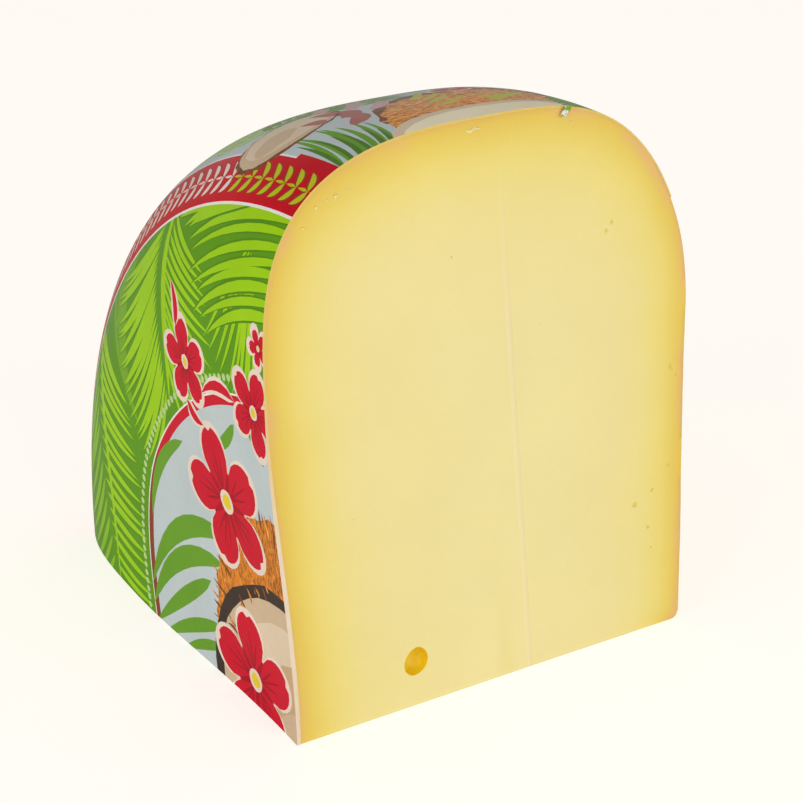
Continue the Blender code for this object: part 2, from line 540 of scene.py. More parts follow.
def make_cloudy():
    tree, given, out = new_group("cloudy", {"Per Metre": 60.0, "Amount": 0.06},
                                 {"Color": (1, 1, 1, 1)}, "Color")
    where = own_place(tree)
    swing = math_node(tree, "SUBTRACT", grain(tree, where, given.outputs["Per Metre"], 4.0), 0.5)
    gain = math_node(tree, "ADD", math_node(tree, "MULTIPLY", swing, given.outputs["Amount"]), 1.0)
    scaled = add_node(tree, "ShaderNodeVectorMath", {"operation": "SCALE"},
                      i0=given.outputs["Color"], Scale=gain)
    tree.links.new(scaled.outputs[0], out.inputs["Color"])
    return tree


def make_relief():
    tree, given, out = new_group("relief", {"Coarse Per Metre": 200.0, "Fine Per Metre": 1500.0,
                                            "Fine Share": 0.3}, {}, "Height")
    where = own_place(tree)
    coarse = grain(tree, where, given.outputs["Coarse Per Metre"], 3.0)
    fine = grain(tree, where, given.outputs["Fine Per Metre"], 2.0)
    mixed = add_node(tree, "ShaderNodeMix", {"data_type": "FLOAT"},
                     i0=given.outputs["Fine Share"], i2=coarse, i3=fine)
    tree.links.new(mixed.outputs[0], out.inputs["Height"])
    return tree


def make_handling():
    tree, given, out = new_group("handling", {"Per Metre": 45.0, "Amount": 0.5}, {}, "Mask")
    where = own_place(tree)
    smear = add_node(tree, "ShaderNodeMapping", Vector=where, Scale=(1.0, 0.35, 1.6))
    found = grain(tree, smear.outputs[0], given.outputs["Per Metre"], 5.0, 0.65)
    edge = faded(tree, found, 0.48, 0.72)
    tree.links.new(math_node(tree, "MULTIPLY", edge, given.outputs["Amount"]), out.inputs["Mask"])
    return tree


cloudy, relief, handling = make_cloudy(), make_relief(), make_handling()
print("groups:", [group.name for group in bpy.data.node_groups])

# %% [markdown]
# Every finish starts from the same Principled shader. The next helpers begin it, place a group in
# it, turn a height into a bump, let smears dull the gloss and spread colours over a ramp.

# %% Helpers that fill a material


def placed(tree, group, **inputs):
    """One of the shared groups, placed in a material."""
    node = tree.nodes.new("ShaderNodeGroup")
    node.node_tree = group
    for name, value in inputs.items():
        socket = node.inputs[name.replace("_", " ")]
        if isinstance(value, bpy.types.NodeSocket):
            tree.links.new(value, socket)
        else:
            socket.default_value = value
    return node.outputs[0]


def begin(material, roughness, **fixed):
    """The material's tree and its Principled shader, with the values that are the same all over."""
    material.use_nodes = True
    tree = material.node_tree
    shader = tree.nodes["Principled BSDF"]
    shader.inputs["Roughness"].default_value = roughness
    for name, value in fixed.items():
        shader.inputs[name.replace("_", " ")].default_value = value
    return tree, shader


def bump(tree, shader, height, distance, strength=1.0):
    made = add_node(tree, "ShaderNodeBump", Height=height, Distance=distance, Strength=strength)
    tree.links.new(made.outputs[0], shader.inputs["Normal"])


def smear_gloss(tree, shader, lowest, per_metre, amount):
    """Link the roughness: its lowest value where the surface is clean, and more under the smears."""
    smear = placed(tree, handling, Per_Metre=per_metre, Amount=amount)
    tree.links.new(math_node(tree, "ADD", smear, lowest), shader.inputs["Roughness"])


def ramp(tree, factor, stops):
    node = add_node(tree, "ShaderNodeValToRGB", Fac=factor)
    elements = node.color_ramp.elements
    while len(elements) < len(stops):
        elements.new(0.5)
    for element, (position, colour) in zip(elements, stops):
        element.position = position
        element.color = (*colour, 1.0)
    return node.outputs[0]


print("helpers: placed, begin, bump, smear_gloss, ramp")

# %% [markdown]
# ## The paste
# A young pressed cheese is pale, smooth and faintly see-through at its surface, so the shader gets
# a little subsurface scattering and a soft, broad shine. The colour comes from the depth under
# the rind. A ramp holds it: orange at the very edge, gold for the first few millimetres, then
# slowly paler. Noise moves the boundary about, because a cheese doesn't dry evenly.
# Here and there the coating's colour has soaked in by a few millimetres, as a rosy tint. A wire
# left one faint pale line down the cut. Near the floor, about the same place is painted a little
# darker and more golden: painted shade of a broad, soft crease. Both are drawn by distance to a
# slanted line.

# %% The paste's material
FULL_DEPTH = 46.0                        # millimetres from the rind to the palest paste
PASTE_RAMP = [(0.000, (0.760, 0.480, 0.100)),
              (0.035, (0.785, 0.562, 0.092)),
              (0.076, (0.797, 0.600, 0.116)),
              (0.120, (0.816, 0.639, 0.138)),
              (0.180, (0.832, 0.679, 0.185)),
              (0.260, (0.840, 0.704, 0.222)),
              (0.390, (0.846, 0.727, 0.281)),
              (0.610, (0.847, 0.735, 0.321)),
              (1.000, (0.849, 0.743, 0.342))]


def depth_factor(tree):
    depth_read = stored(tree, "rind_depth")
    where = own_place(tree)
    uneven = math_node(tree, "SUBTRACT", grain(tree, where, 38.0, 3.0), 0.5)
    drift = math_node(tree, "MULTIPLY", uneven, 0.85)
    stretched = math_node(tree, "MULTIPLY", depth_read, math_node(tree, "ADD", drift, 1.0))
    return math_node(tree, "DIVIDE", stretched, FULL_DEPTH, clamp=True), where


def streak(tree, where, floor_x, lean, half_width, fade):
    """A mask that is 1 along a thin slanted line up the cut face and fades between two heights."""
    parts = add_node(tree, "ShaderNodeSeparateXYZ", Vector=where)
    line_x = math_node(tree, "ADD", math_node(tree, "MULTIPLY", parts.outputs["Z"], lean),
                       MIDDLE_X + floor_x * MM)
    off = math_node(tree, "ABSOLUTE", math_node(tree, "SUBTRACT", parts.outputs["X"], line_x), 0.0)
    near = faded(tree, off, half_width * MM, 0.15 * half_width * MM)
    below_top = faded(tree, parts.outputs["Z"], fade[1] * MM, fade[0] * MM, smooth=False)
    return math_node(tree, "MULTIPLY", near, below_top)


def tinted(tree, mask, share, colour, tint):
    """The colour, with a share of the tint mixed in under the mask."""
    strength = math_node(tree, "MULTIPLY", mask, share)
    return add_node(tree, "ShaderNodeMix", {"data_type": "RGBA"}, i0=strength, i6=colour,
                    i7=(*tint, 1)).outputs[2]


def rosy_edge(tree, where):
    """Patches within four millimetres of the rind, where the coating's colour has soaked in."""
    depth_read = stored(tree, "rind_depth")
    near = faded(tree, depth_read, 4.0, 0.6)
    patches = faded(tree, grain(tree, where, 46.0, 2.0), 0.45, 0.62)
    return math_node(tree, "MULTIPLY", near, patches)


def make_paste(material):
    tree, shader = begin(material, 0.42, Subsurface_Weight=0.12, Subsurface_Scale=0.004,
                         Subsurface_Radius=(1.0, 0.6, 0.25), Specular_IOR_Level=0.30)
    factor, where = depth_factor(tree)
    colour = placed(tree, cloudy, Color=ramp(tree, factor, PASTE_RAMP), Per_Metre=55.0, Amount=0.07)
    colour = tinted(tree, rosy_edge(tree, where), 0.70, colour, (0.81, 0.47, 0.20))
    # painted shade: a darker, more golden band near the floor stands for the shade of a soft crease
    crease_shade = streak(tree, where, 5.4, -0.05, 3.2, (8, 26))
    colour = tinted(tree, crease_shade, 0.35, colour, (0.80, 0.69, 0.24))
    wire = streak(tree, where, 11.0, -0.077, 0.85, (80, 115))
    colour = tinted(tree, wire, 0.45, colour, (0.90, 0.74, 0.46))
    tree.links.new(colour, shader.inputs["Base Color"])
    smear_gloss(tree, shader, lowest=0.36, per_metre=60.0, amount=0.14)
    grainy = placed(tree, relief, Coarse_Per_Metre=260.0, Fine_Per_Metre=2200.0, Fine_Share=0.35)
    bump(tree, shader, math_node(tree, "ADD", grainy, math_node(tree, "MULTIPLY", wire, 0.8)), 0.00012)


make_paste(paste)
print("paste ready")

# %% [markdown]
# ## The rind and the lining of the eyes
# The bare face is the wheel's own rind under a thin clear coating: deeper gold than the paste,
# mottled, with the weave of the press cloth faintly left in it. Two crossed waves give the
# weave, and a thin coat gives the shine of the coating. Inside an eye the paste is glossy, and its
# colour is painted deeper, as painted shade and bounced light: darker at the eye's top, where shade
# falls, and brighter at its bottom.

# %% The rind's material and the eye lining's


def make_rind(material):
    tree, shader = begin(material, 0.38, Subsurface_Weight=0.06, Subsurface_Scale=0.003,
                         Subsurface_Radius=(1.0, 0.5, 0.2), Coat_Weight=0.25, Coat_Roughness=0.22)
    where = own_place(tree)
    blotch = ramp(tree, grain(tree, where, 42.0, 6.0, 0.6), [(0.28, (0.760, 0.460, 0.085)),
                                                             (0.50, (0.810, 0.545, 0.120)),
                                                             (0.74, (0.850, 0.630, 0.185))])
    colour = placed(tree, cloudy, Color=blotch, Per_Metre=420.0, Amount=0.16)
    tree.links.new(colour, shader.inputs["Base Color"])
    smear_gloss(tree, shader, lowest=0.30, per_metre=70.0, amount=0.30)
    threads = [add_node(tree, "ShaderNodeTexWave", {"bands_direction": axis}, Vector=where, Scale=210.0,
                        Distortion=1.6, Detail=1.0, i4=1.0).outputs["Fac"] for axis in ("Y", "Z")]
    pressed = faded(tree, grain(tree, where, 26.0, 2.0), 0.40, 0.65)
    cloth_print = math_node(tree, "MULTIPLY", math_node(tree, "ADD", *threads), 0.20)
    weave = math_node(tree, "MULTIPLY", cloth_print, pressed)
    grainy = placed(tree, relief, Coarse_Per_Metre=150.0, Fine_Per_Metre=1300.0, Fine_Share=0.3)
    bump(tree, shader, math_node(tree, "ADD", weave, grainy), 0.00035)


def make_lining(material, shaded_top_colour, lit_low_colour, roughness, depth):
    """The wall of a hole, with painted shade and light: darker at the eye's top, brighter at its bottom."""
    tree, shader = begin(material, roughness, Subsurface_Weight=0.15, Subsurface_Scale=0.003,
                         Subsurface_Radius=(1.0, 0.6, 0.2), Specular_IOR_Level=0.3)
    where = own_place(tree)
    height = add_node(tree, "ShaderNodeSeparateXYZ", Vector=where).outputs["Z"]
    low, high = (EYE["z"] - EYE["radii"][2]) * MM, (EYE["z"] + EYE["radii"][2]) * MM
    wall = ramp(tree, faded(tree, height, low, high), [(0.10, lit_low_colour), (0.75, shaded_top_colour)])
    clouded = placed(tree, cloudy, Color=wall, Per_Metre=500.0, Amount=0.16)
    tree.links.new(clouded, shader.inputs["Base Color"])
    grainy = placed(tree, relief, Coarse_Per_Metre=700.0, Fine_Per_Metre=3000.0, Fine_Share=0.3)
    bump(tree, shader, grainy, depth)


make_rind(rind)
# painted shade and light: the lining darkens towards the top of the eye and brightens towards its bottom
make_lining(eye_lining, (0.860, 0.590, 0.004), (0.950, 0.680, 0.020), 0.28, 0.00015)
make_lining(pinhole_lining, (0.810, 0.660, 0.150), (0.850, 0.690, 0.190), 0.40, 0.00008)
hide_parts("cheese_quarter")
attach(cheese, "root")
print("cheese stands for the packed quarter")

# %% [markdown]
# ## The print, laid out flat
# The label is a disc of film, printed flat and then stretched over the wheel. It is drawn
# the same way here: on a plane, in millimetres, with the wheel's axis at (0, 0), the upright cut
# along v and the bottom cut along u. Distance from the axis is distance along the outline.
# Each drawn shape is an outline and an ink, and a later shape lies on top of an earlier one.
# The knife missed the label's own centre by a few millimetres, so the rings are drawn round
# `DISC_CENTRE` and not round the axis.

# %% Inks and the drawing list
PRINT_RADIUS = S_FILM_END / MM
DISC_CENTRE = Vector((-7.4, 2.3))
BAND_INNER, BAND_OUTER = 109.7, 120.6
PANEL_RADIUS = 72.4
PANEL_OUTLINE = 1.5                      # the red outline reaches this far inside the panel's radius
PANEL_FLATTEN = 0.075                    # the share by which the panel shrinks towards the floor

INKS = {
    "leaf_green": (0.110, 0.310, 0.004),
    "deep_green": (0.085, 0.255, 0.004),
    "lime": (0.335, 0.615, 0.003),
    "soft_lime": (0.250, 0.510, 0.006),
    "dull_green": (0.180, 0.400, 0.015),
    "sky": (0.520, 0.590, 0.600),
    "white": (0.830, 0.790, 0.740),
    "speck": (0.470, 0.640, 0.260),
    "cream": (0.800, 0.660, 0.560),
    # cream flesh of the rim's coconut, brightened with a painted highlight
    "cream_with_highlight": (0.930, 0.830, 0.590),
    "red": (0.610, 0.003, 0.022),
    "dark_red": (0.400, 0.002, 0.014),
    "band_red": (0.560, 0.001, 0.010),
    "rust": (0.260, 0.050, 0.020),
    "leaf_on_sky": (0.140, 0.340, 0.022),
    "leaf_shade": (0.080, 0.200, 0.018),
    "garland": (0.520, 0.520, 0.010),
    "husk": (0.680, 0.240, 0.028),
    "husk_light": (0.860, 0.380, 0.080),
    "husk_pale": (0.900, 0.520, 0.150),
    "husk_dark": (0.230, 0.080, 0.020),
    "shell": (0.050, 0.032, 0.024),
    "flesh": (0.610, 0.450, 0.290),
    "flesh_pale": (0.720, 0.575, 0.410),
    "hollow": (0.560, 0.385, 0.205),
    "blush": (0.430, 0.130, 0.110),
    "blush_pale": (0.620, 0.380, 0.370),
    "yellow": (0.780, 0.580, 0.030),
}
FIBROUS = ("husk", "husk_light", "husk_pale", "husk_dark")
drawn = []                               # (ink, outline), painted in this order


def draw(ink, outline_points):
    """Add a shape; every outline runs anticlockwise, as the triangulation expects."""
    points = [Vector(point) for point in outline_points]
    twice_area = sum(a.cross(b) for a, b in zip(points, points[1:] + points[:1]))
    drawn.append((ink, points if twice_area > 0 else points[::-1]))


def from_disc(angle, distance):
    """A point given from the disc's centre; angle 0 is up along the cut, 90 degrees along the floor."""
    turn = math.radians(angle)
    return DISC_CENTRE + Vector((math.sin(turn), math.cos(turn))) * distance


def repeat_round(first, degrees):
    """Draw every shape since the given one again, turned about the disc's centre."""
    shapes = list(drawn[first:])
    for angle in degrees:
        turn = Matrix.Rotation(-math.radians(angle), 2)
        for ink, points in shapes:
            draw(ink, [DISC_CENTRE + turn @ (point - DISC_CENTRE) for point in points])


print("print radius", round(PRINT_RADIUS, 1), "mm,", len(INKS), "inks")

# %% [markdown]
# Four plain shapes make most of the picture: a leaf blade, a fan of blades, a ring round the
# disc's centre and a wobbly oval. A palm frond is a midrib with a fan on each side. A fan is
# given by a curve for the leaflets' roots and one for their tips, so one line draws half a frond.

# %% Leaves, fans, rings and ovals
sketch = random.Random(20)


def blade(base, tip, width, bow=0.0, steps=6):
    """A pointed leaf from base to tip, bowed sideways by a share of its length."""
    base, tip = Vector(base), Vector(tip)
    along = tip - base
    side = Vector((-along.y, along.x))
    middle, half = [], []
    for step in range(1, steps):
        t = step / steps
        middle.append(base + along * t + side * bow * 4 * t * (1 - t))
        half.append(side.normalized() * width / 2 * math.sin(math.pi * t**0.75) ** 0.7)
    left = [point + reach for point, reach in zip(middle, half)]
    right = [point - reach for point, reach in zip(middle, half)]
    return [base, *left, tip, *right[::-1]]


def bent(curve, t):
    """A point at share t of a curve through a start, a pull and an end."""
    start, pull, end = (Vector(point) for point in curve)
    return start * (1 - t) ** 2 + pull * 2 * t * (1 - t) + end * t**2


def fan(ink, roots, tips, count, width, bow=0.0, shade="deep_green", loose=1.0, steps=9):
    """Leaflets side by side, each with a thin shadow under it."""
    leaflets = []
    for step in range(count):
        t = (step + 0.5) / count
        wander = Vector((sketch.uniform(-loose, loose), sketch.uniform(-loose, loose)))
        leaflets.append((bent(roots, t), bent(tips, t) + wander, sketch.uniform(0.85, 1.15) * width,
                         bow + sketch.uniform(-0.015, 0.015)))
    if shade:
        for root, tip, wide, curve in leaflets:
            draw(shade, blade(root, tip + (tip - root) * 0.02, wide * 1.45, curve, steps))
    for root, tip, wide, curve in leaflets:
        draw(ink, blade(root, tip, wide, curve, steps))


def flattened(angle, share):
    """What is left of a distance from the disc's centre when it shrinks by a share near the floor."""
    return 1 - share * eased(angle, 55, 95)


def ring(inner, outer, start=-14, end=104, step=2.0, flatten=0.0):
    """A band round the disc's centre between two distances, pulled in towards the floor by a share."""
    angles = np.arange(start, end + step, step)
    pull = flattened(angles, flatten)
    far = [from_disc(a, outer * p) for a, p in zip(angles, pull)]
    near = [from_disc(a, inner * p) for a, p in zip(angles, pull)]
    return far + near[::-1]


def oval(middle, across, up, turn=0.0, wobble=0.0, points=28):
    """An oval whose edge wanders by a share of its size."""
    lean = Matrix.Rotation(-math.radians(turn), 2)
    made = []
    for step in range(points):
        angle = 2 * math.pi * step / points
        reach = 1 + sketch.uniform(-wobble, wobble)
        made.append(Vector(middle) + lean @ Vector((across * reach * math.sin(angle),
                                                    up * reach * math.cos(angle))))
    return made


print("shapes ready: blade, fan, ring and oval")

# %% [markdown]
# Flowers and nuts are built from those. A blossom's outline is a circle with a lobe for each petal
# and a small notch at its end, and a slightly larger one under it leaves a pale edge. A half
# coconut is a pile of ovals, and its husk sends out short fibres all round.

# %% Blossoms, husks and nuts


def blossom(middle, size, turn, petals=5):
    """A generic red flower with a pale edge all round, veins and a yellow heart."""
    middle = Vector(middle)

    def edge(grow, inset):
        count = petals * 14
        made = []
        for step in range(count):
            angle = 2 * math.pi * step / count
            lobe = abs(math.cos(petals * angle / 2)) ** 0.6
            far = (size * (0.42 + 0.58 * lobe) + grow) * (1 - inset * (lobe > 0.985))
            made.append(middle + Vector((math.sin(angle + turn), math.cos(angle + turn))) * far)
        return made

    draw("cream", edge(1.2, 0.0))
    draw("red", edge(0.0, 0.06))
    for petal in range(petals):
        angle = 2 * math.pi * petal / petals + turn
        heading = Vector((math.sin(angle), math.cos(angle)))
        across = Vector((-heading.y, heading.x))
        gap = heading * math.cos(math.pi / petals) + across * math.sin(math.pi / petals)
        draw("dark_red", blade(middle, middle + gap * size * 0.50, size * 0.10))
        for offset in (-0.16, 0.0, 0.16):
            start = middle + heading * size * 0.14
            end = middle + heading * size * (0.78 - abs(offset)) + across * size * offset
            draw("dark_red", blade(start, end, size * 0.040))
    draw("cream", oval(middle, size * 0.17, size * 0.17, 0, 0.05, 14))
    draw("yellow", oval(middle, size * 0.11, size * 0.11, 0, 0.12, 10))


def husk_fringe(inks, middle, across, up, thick, count):
    """Short fibres that stick out of an oval husk all round."""
    for fibre in range(count):
        angle = 2 * math.pi * (fibre + sketch.uniform(-0.4, 0.4)) / count
        edge = Vector(middle) + Vector((across * math.sin(angle), up * math.cos(angle)))
        heading = (edge - Vector(middle)).normalized()
        curl = Vector((sketch.uniform(-1.2, 1.2), sketch.uniform(-1.2, 1.2)))
        start = edge - heading * thick * sketch.uniform(0.4, 1.1)
        end = edge + heading * thick * sketch.uniform(0.05, 0.40) + curl
        draw(inks[fibre % len(inks)], blade(start, end, 0.9, sketch.uniform(-0.12, 0.12), 4))


def nut_flesh(middle, across, up, turn, shell=0.90):
    """The open half of a coconut: a dark shell line, pale flesh and a shaded hollow."""
    middle = Vector(middle)
    lean = Matrix.Rotation(-math.radians(turn), 2)
    draw("shell", oval(middle, across, up, turn, 0.015, 40))
    draw("flesh", oval(middle, across * shell, up * shell, turn, 0.01, 40))
    draw("flesh_pale", oval(middle - lean @ Vector((across * 0.03, up * 0.04)), across * (shell - 0.10),
                            up * (shell - 0.11), turn, 0.015, 32))
    draw("hollow", oval(middle - lean @ Vector((across * 0.10, up * -0.02)), across * 0.50, up * 0.52,
                        turn, 0.02, 30))
    draw("flesh", oval(middle - lean @ Vector((across * 0.02, up * 0.12)), across * 0.30, up * 0.28,
                       turn, 0.04, 24))


print("shapes ready: blossom, husk fringe and nut")

# %% [markdown]
# The picture itself: green ground with palm fronds, a red band, sky beyond it with half
# coconuts and sprigs on the rim, and a pale round panel in the middle. Where a maker would set
# a name, red blossoms stand, and where a maker would set words along the band, a garland runs.

# %% Draw the green ground and its fronds


def draw_ground():
    """Green all over the disc, with a slightly wavy free end."""
    corner = [(0, 0), (0, PRINT_RADIUS)]
    arc = [(PRINT_RADIUS * math.sin(math.radians(a)), PRINT_RADIUS * math.cos(math.radians(a)))
           for a in np.arange(1.0, 90, 1.0)]
    cut_in = [1 - 0.0035 * (1 + 0.6 * math.sin(k * 0.17) + 0.4 * math.sin(k * 0.53 + 1))
              for k in range(len(arc))]
    wavy = [(u * keep, v * keep) for (u, v), keep in zip(arc, cut_in)]
    draw("leaf_green", corner + wavy + [(PRINT_RADIUS, 0)])


def draw_fronds():
    """Four palm fronds: one hanging at the left, one at the far right and two from the cut edge."""
    fan("dull_green", ((60, 92), (70, 84), (80, 70)), ((74, 62), (66, 50), (62, 44)), 8, 2.6, 0.05,
        None, 2.0)

    stem = ((89, 64), (87, 30), (80, -2))
    fan("soft_lime", ((90, 76), (89, 40), (81, -2)), ((108, 46), (105, 14), (95, -14)), 18, 1.7, -0.05)
    fan("lime", stem, ((69, 51), (60, 30), (63, -4)), 19, 1.8, 0.05)
    draw("lime", blade((90, 67), (80, -4), 1.7, -0.04, 10))

    fan("lime", ((47, 99), (47, 92), (46, 84)), ((27, 93), (24, 86), (21, 77)), 7, 1.4, 0.05)
    fan("lime", ((47, 88), (46, 78), (44, 68)), ((22, 76), (26, 62), (36, 54)), 9, 1.3, 0.05)
    fan("lime", ((51, 95), (50, 82), (45, 60)), ((73, 76), (75, 50), (56, 37)), 21, 1.5, -0.05)
    draw("lime", blade((49, 100), (44, 58), 2.6, -0.03, 10))

    fan("lime", ((9, 105), (7, 100), (3, 94)), ((27, 80), (14, 68), (2, 70)), 11, 1.25, -0.04)
    fan("lime", ((-3, 119), (-8, 108), (-6, 92)), ((40, 103), (33, 92), (25, 79)), 11, 1.9, 0.07, loose=1.8)
    fan("lime", ((8, 113), (18, 110), (28, 106)), ((33, 99), (40, 99), (45, 97)), 4, 2.2, 0.05)


draw_ground()
draw_fronds()
print(len(drawn), "shapes for the ground and the fronds")

# %% [markdown]
# The round panel has a red outline that turns rusty towards the floor, with a row of pale
# beads outside it. Broad leaves and a half coconut fill it, and the blossoms lie over both.

# %% Draw the panel and the blossoms
BEAD_RADIUS = 0.78


def draw_panel():
    """The panel's outline and sky, broad leaves, and a half coconut in its husk."""
    draw("white", ring(0.5, PANEL_RADIUS + 1.0, flatten=PANEL_FLATTEN))
    draw("rust", ring(0.5, PANEL_RADIUS + 0.6, flatten=PANEL_FLATTEN))
    draw("red", ring(PANEL_RADIUS - PANEL_OUTLINE, PANEL_RADIUS + 0.6, -14, 56))
    draw("sky", ring(0.5, PANEL_RADIUS - PANEL_OUTLINE, flatten=PANEL_FLATTEN))
    for base, tip, width, bow in (((39, 52), (58, 26), 3.2, 0.12), ((21, 37), (61, 8), 5.2, 0.15),
                                  ((26, 29), (61, 3), 5.0, 0.13), ((33, 22), (60, -1), 3.8, 0.02),
                                  ((30, 12), (57, -3), 3.4, 0.04), ((30, 7), (48, -2), 2.6, 0.04),
                                  ((14, 66), (26, 56), 2.8, -0.08), ((2, 62), (9, 67), 2.2, 0.1)):
        draw("leaf_on_sky", blade(base, tip, width, bow, 10))
    draw("husk", oval((0, 12), 31.5, 38, 0, 0.025, 72))
    husk_fringe(("husk", "husk_dark", "husk_light"), (0, 12), 31.5, 38, 7, 110)
    nut_flesh((-3, 3), 37, 31, 0, 0.91)
    husk_fringe(("husk_dark", "husk"), (-3, 4), 30, 31, 3.0, 60)


def draw_beads():
    """A row of round pale beads that follows the panel's outline."""
    for angle in np.arange(14, 97, 1.6):
        distance = (PANEL_RADIUS + 3.9) * float(flattened(angle, PANEL_FLATTEN))
        draw("speck", oval(from_disc(angle, distance), BEAD_RADIUS, BEAD_RADIUS, 0, 0.04, 10))


def draw_blossoms():
    """Five flowers, and loose petals between them."""
    blossom((21, 46), 15.5, 0.35)
    blossom((17, 6), 15.5, 0.10)
    blossom((5, 72), 8.8, 0.9)
    blossom((35, 71), 9.0, 0.2)
    blossom((2, 86), 3.6, 0.5)
    for base, tip in (((13, 71), (28, 67)), ((39, 77), (42, 86)), ((35, 63), (28, 60))):
        draw("cream", blade(base, tip, 4.0, 0.15))
        draw("red", blade(base, tip, 2.2, 0.15))


draw_beads()
draw_panel()
draw_blossoms()
print(len(drawn), "shapes with the panel")

# %% [markdown]
# The rim's pictures are drawn once, next to the cut, and then repeated round the disc, as a
# printer would: sprigs of palm, a big half coconut in its husk, petals and loose leaves on sky.

# %% Draw the rim


def sprig(root, heading, size, ink="leaf_on_sky", shade="leaf_shade", pairs=6, width=1.5):
    """A small palm leaf: a stem with a fan of leaflets on each hand."""
    turn = Matrix.Rotation(-math.radians(heading), 2)

    def at(across, up):
        return Vector(root) + turn @ Vector((across, up)) * size

    for hand in (-1, 1):
        fan(ink, (at(0, 0.05), at(0.03, 0.45), at(0, 0.92)),
            (at(hand * 0.60, 0.40), at(hand * 0.58, 0.95), at(hand * 0.12, 1.18)), pairs, width,
            -hand * 0.08, shade, 0.4, 5)
    draw(ink, blade(at(0, -0.08), at(0, 1.1), width, 0.03, 8))


def draw_rim_pictures():
    """Everything in the first part of the rim: sprigs, a big half coconut, petals and leaves."""
    fan("leaf_on_sky", ((-7, 137), (-6, 131), (-4, 123)), ((9, 142), (20, 132), (25, 121)), 9, 1.25,
        0.07, None)
    fan("leaf_shade", ((-7, 134), (-6, 129), (-4, 123)), ((7, 137), (15, 129), (18, 122)), 6, 1.0,
        0.05, None)
    for angle, heading in ((24.5, 20), (28.5, -5), (32, 25)):
        sprig(from_disc(angle, 123), heading, 12, "speck", "leaf_on_sky")
    for angle, distance, heading, size in ((15, 141, 75, 17), (21, 128, 30, 16), (27, 143, 140, 17),
                                           (11, 178, 60, 20), (30, 168, 190, 18), (17, 190, 95, 20),
                                           (4, 196, 40, 15), (26, 200, 70, 17), (21, 156, 10, 13)):
        sprig(from_disc(angle, distance), heading, size)
    draw("husk_dark", oval((7, 158.0), 27, 19.5, 8, 0.03, 70))
    draw("husk_light", oval((4, 157.5), 26, 18.5, 8, 0.03, 70))
    husk_fringe(("husk_light", "husk_pale", "husk_light", "husk"), (4, 157.5), 26, 18.5, 5, 90)
    draw("flesh_pale", oval((-2, 155.5), 11.8, 20.6, 0, 0.02, 44))
    # the inner flesh: printed cream with a painted highlight in it
    draw("cream_with_highlight", oval((-2.6, 156.0), 10.2, 18.8, 0, 0.02, 44))
    fan("garland", ((26, 148), (20, 150), (12, 151)), ((40, 152), (28, 156), (18, 158)), 4, 1.8, 0.10, None)
    fan("garland", ((9, 162), (12, 164), (15, 166)), ((18, 160), (24, 165), (20, 172)), 4, 2.0, 0.12, None)
    fan("leaf_on_sky", ((-6, 172), (2, 172), (10, 172)), ((-2, 184), (14, 184), (26, 178)), 8, 1.9, 0.10,
        "leaf_shade")
    blossom(from_disc(23, 176), 8.5, 0.4)
    blossom(from_disc(15.5, 164), 5.5, 1.1)
    for base, tip, width, ink in (((14, 134), (24, 137), 4.2, "blush"), ((20, 136), (31, 134), 4.4, "blush"),
                                  ((22, 140), (34, 144), 3.4, "blush_pale"),
                                  ((28, 137), (42, 139), 4.0, "blush_pale"),
                                  ((33, 131), (44, 133), 3.6, "blush_pale")):
        draw(ink, blade(base, tip, width, 0.12))


draw("sky", ring(BAND_OUTER - 1, PRINT_RADIUS + 15))
first_picture = len(drawn)
draw_rim_pictures()
repeat_round(first_picture, (33, 66, 99))
print(len(drawn), "shapes with the rim")

# %% [markdown]
# The band comes last, so it lies over the feet of the sprigs. It is a red ring with a pale line at
# each edge. A garland runs along it: for each step a stem and a leaf on either hand, each over a
# darker leaf that serves as its shadow. A half coconut is set over the band's edge.

# %% Draw the band and the small coconut


def draw_small_nut():
    """A half coconut with a few petals that lies over the band's edge."""
    draw("husk_dark", oval((29, 124), 9.2, 11.6, 14, 0.05, 34))
    draw("flesh", oval((29.5, 124), 8.6, 10.8, 14, 0.02, 34))
    draw("flesh_pale", oval((30.2, 124.6), 7.4, 9.4, 14, 0.02, 30))
    draw("flesh", oval((28.2, 121.5), 3.6, 5.2, 20, 0.05, 20))
    for base, tip, width in (((23, 131), (29, 127), 3.0), ((27, 134), (34, 130), 3.4),
                             ((22, 134), (27, 137), 2.6)):
        draw("blush", blade(base, tip, width, 0.15))


def draw_band():
    """The red band with a running garland, yellow-green near the cut and pale beyond."""
    draw("white", ring(BAND_INNER - 0.6, BAND_OUTER + 0.5))
    draw("band_red", ring(BAND_INNER, BAND_OUTER))
    draw("band_red", ring(BAND_OUTER - 1, BAND_OUTER + 1.3, -14, 9))
    middle = (BAND_INNER + BAND_OUTER) / 2
    for angle in np.arange(-2, 98, 2.05):
        pale = angle > 18
        leaf, shade = ("cream", "dark_red") if pale else ("garland", "rust")
        near, far = from_disc(angle, middle - 0.2), from_disc(angle + 1.8, middle - 0.2)
        draw(leaf, blade(near, far, 0.7, 0.02, 4))
        for hand in (-1, 1):
            tip = from_disc(angle + 1.5, middle + hand * 3.6)
            draw(shade, blade(near, tip, 2.5, hand * 0.12, 5))
            draw(leaf, blade(near, tip, 1.5, hand * 0.12, 5))


draw_band()
first_nut = len(drawn)
draw_small_nut()
repeat_round(first_nut, (33, 66))
print(len(drawn), "shapes,", sum(len(points) for _, points in drawn), "points")

# %% [markdown]
# ## From drawing to film
# A constrained Delaunay triangulation turns the pile of outlines into one net of triangles. Every
# ink edge becomes a real edge of the net, so the print stays sharp however near one looks, and
# each triangle takes the ink of the topmost shape that covers it. Rings of extra points give the
# net enough bends to follow the wheel. Then each point is lifted onto the wheel: its distance from
# the axis is walked along the outline, and its direction becomes the angle round the wheel.

# %% Triangulate the print
NET_STEP = 2.6                           # millimetres between the extra points


